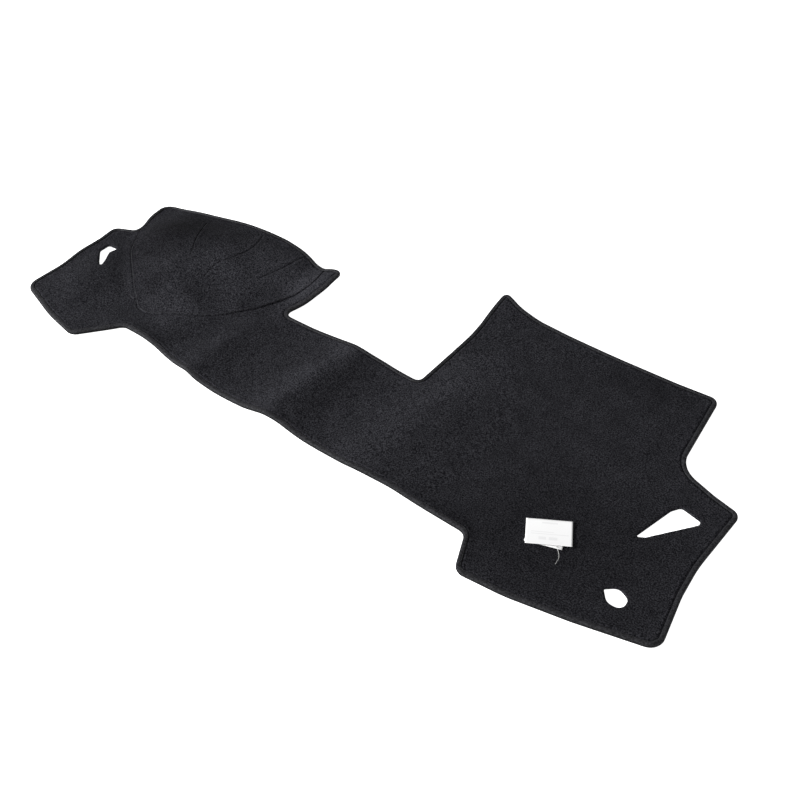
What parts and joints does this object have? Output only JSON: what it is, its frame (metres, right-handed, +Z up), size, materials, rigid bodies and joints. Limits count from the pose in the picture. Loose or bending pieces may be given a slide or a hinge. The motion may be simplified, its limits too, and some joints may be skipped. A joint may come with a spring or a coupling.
{
  "type": "dashboard cover mat",
  "caption": "Black pile carpet mat cut to a full-width dashboard, with a domed instrument hood sewn in at the driver's end, a bound edge, cut openings and a white care label",
  "frame": {"origin": "centre of the mat's plan on the surface that it lies on", "axes": "+X along the mat to the passenger end, +Y to the cabin edge, +Z up out of the pile"},
  "size_m": [1.4402, 0.6448, 0.0701],
  "materials": {
    "pile_carpet": "short brushed polyester pile, matt",
    "hood_carpet": "short brushed polyester pile, matt",
    "edge_tape": "close woven binding tape, slight sheen",
    "label_paper": "smooth white label stock",
    "clear_plastic": "milky clear filament"
  },
  "bodies": {
    "root": {"carpet_panel": "pile_carpet", "instrument_hood": "hood_carpet", "edge_tape": "edge_tape", "label_front_leaf": "label_paper", "label_back_leaf": "label_paper", "label_pin": "clear_plastic"}
  },
  "joints": []
}
